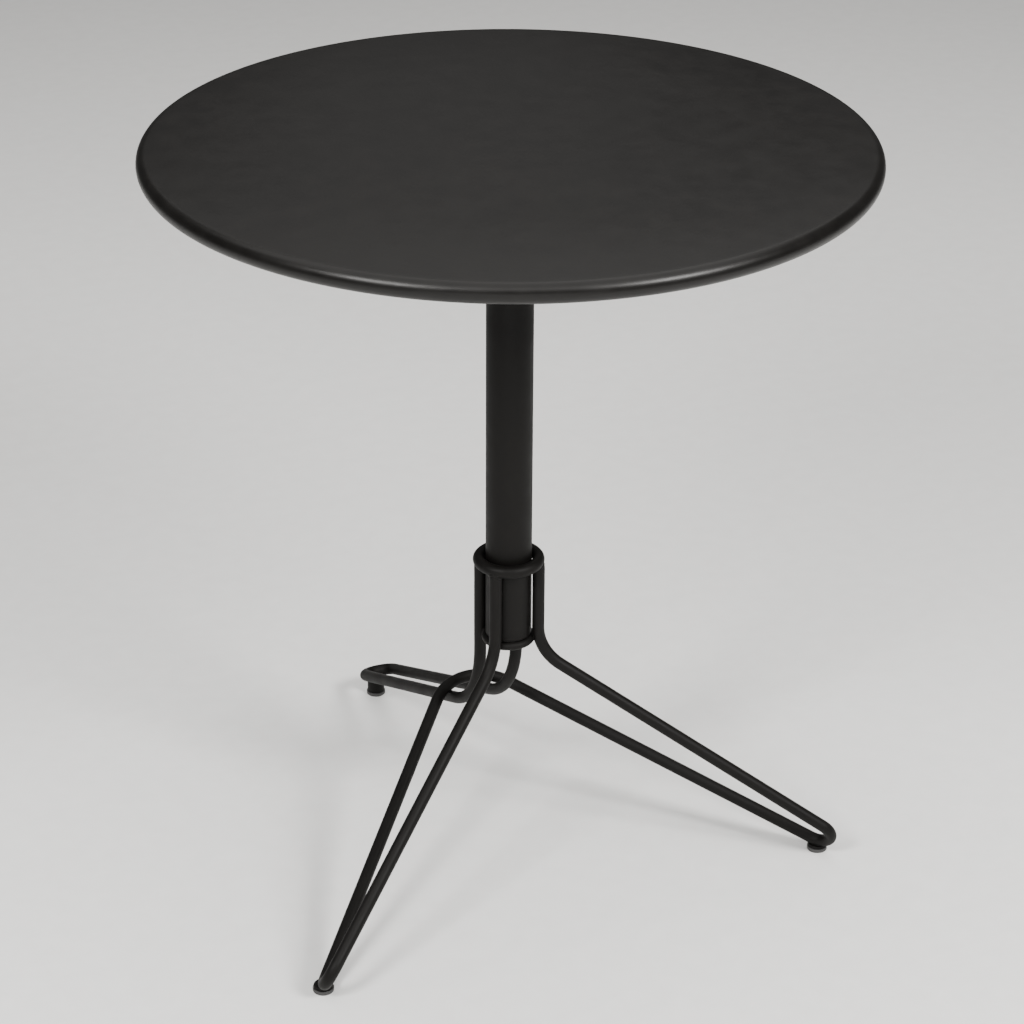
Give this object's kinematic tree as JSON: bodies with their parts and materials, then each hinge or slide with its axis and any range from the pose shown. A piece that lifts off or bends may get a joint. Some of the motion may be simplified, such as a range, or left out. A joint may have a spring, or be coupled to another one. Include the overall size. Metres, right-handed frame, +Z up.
{
  "type": "bistro table",
  "caption": "Round pressed steel bistro table on a tubular column, with a tripod base bent from round steel rod and plastic glides.",
  "frame": {"origin": "the point of the floor under the column's axis, which is the middle of the round top's outline", "axes": "+Z up along the column, +Y along the back leg, which makes X = 0 the plane that the base is symmetrical about; the two front legs point 60 degrees to each side of -Y"},
  "size_m": [0.67, 0.67, 0.7435],
  "materials": {
    "powder_coated_steel": "fine-textured satin powder coat",
    "zinc_plated_steel": "bright zinc plating",
    "grey_plastic": "moulded, matt"
  },
  "bodies": {
    "root": {"table_top": "powder_coated_steel", "stiffening_pan": "powder_coated_steel", "weld_nut_1": "zinc_plated_steel", "weld_nut_2": "zinc_plated_steel", "weld_nut_3": "zinc_plated_steel", "weld_nut_4": "zinc_plated_steel", "top_bolt_1": "zinc_plated_steel", "top_bolt_2": "zinc_plated_steel", "top_bolt_3": "zinc_plated_steel", "top_bolt_4": "zinc_plated_steel", "bolt_washer_1": "zinc_plated_steel", "bolt_washer_2": "zinc_plated_steel", "bolt_washer_3": "zinc_plated_steel", "bolt_washer_4": "zinc_plated_steel", "column_flange": "powder_coated_steel", "column_tube": "powder_coated_steel", "column_plug": "zinc_plated_steel", "front_legs_rod": "powder_coated_steel", "back_leg_rod": "powder_coated_steel", "upper_collar_ring": "powder_coated_steel", "lower_collar_ring": "powder_coated_steel", "tie_washer": "zinc_plated_steel", "tie_bolt": "zinc_plated_steel", "front_left_foot_boss": "powder_coated_steel", "front_right_foot_boss": "powder_coated_steel", "back_foot_boss": "powder_coated_steel", "front_left_foot_glide": "grey_plastic", "front_right_foot_glide": "grey_plastic", "back_foot_glide": "grey_plastic"}
  },
  "joints": []
}
